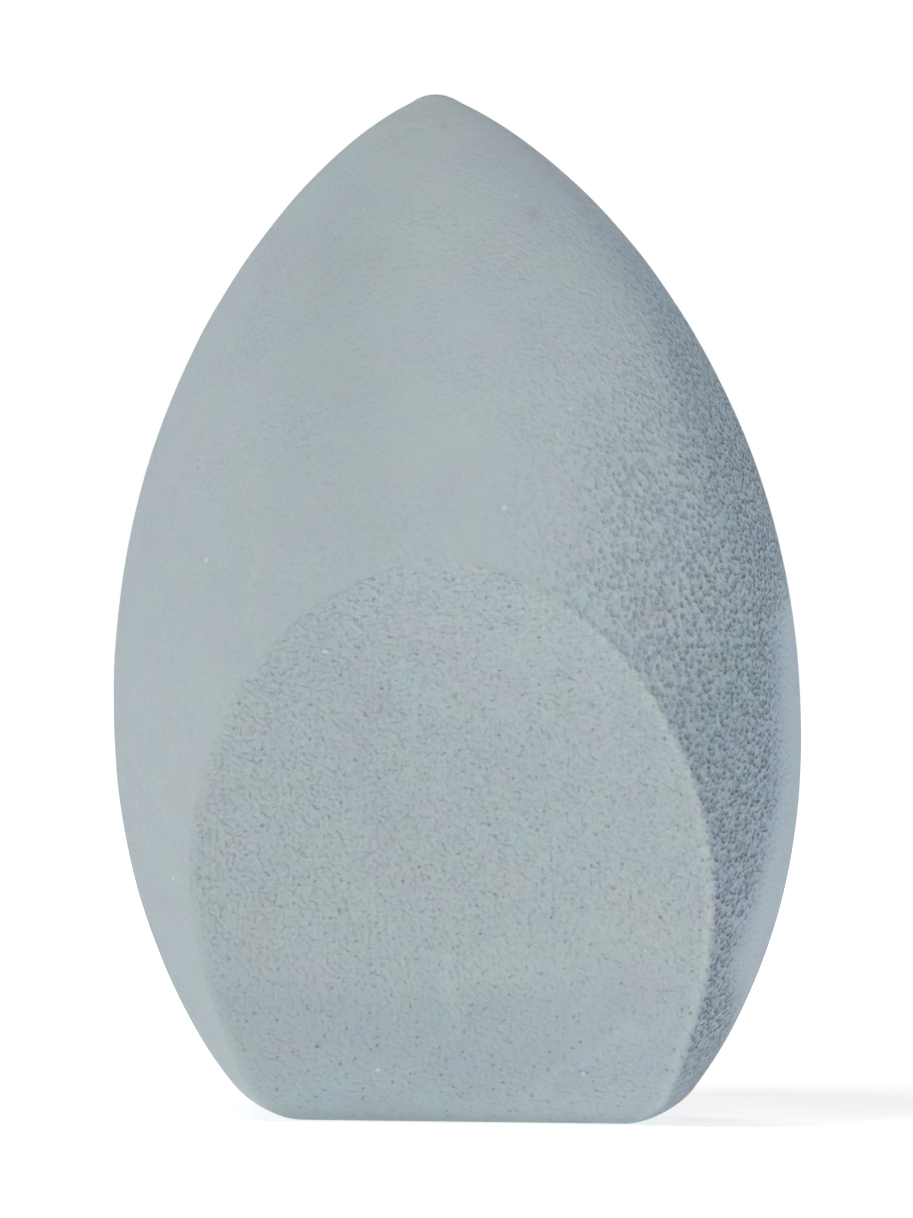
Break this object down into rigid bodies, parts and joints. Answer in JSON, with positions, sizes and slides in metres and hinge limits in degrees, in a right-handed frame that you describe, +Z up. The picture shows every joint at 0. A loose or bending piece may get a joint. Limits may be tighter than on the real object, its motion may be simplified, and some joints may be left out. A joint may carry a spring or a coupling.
{
  "type": "makeup sponge",
  "caption": "Egg-shaped soft foam makeup sponge with a drawn-up tip, a flat base to stand on and a slanting flat face for pressing.",
  "frame": {"origin": "middle of the flat base, on the egg's axis", "axes": "+Z up from the base to the tip, and the slanting face looks towards -Y"},
  "size_m": [0.0402, 0.0393, 0.06],
  "materials": {
    "foam": "matte, fine open-cell polyurethane foam, pale blue grey"
  },
  "bodies": {
    "root": {"sponge_body": "foam"}
  },
  "joints": []
}
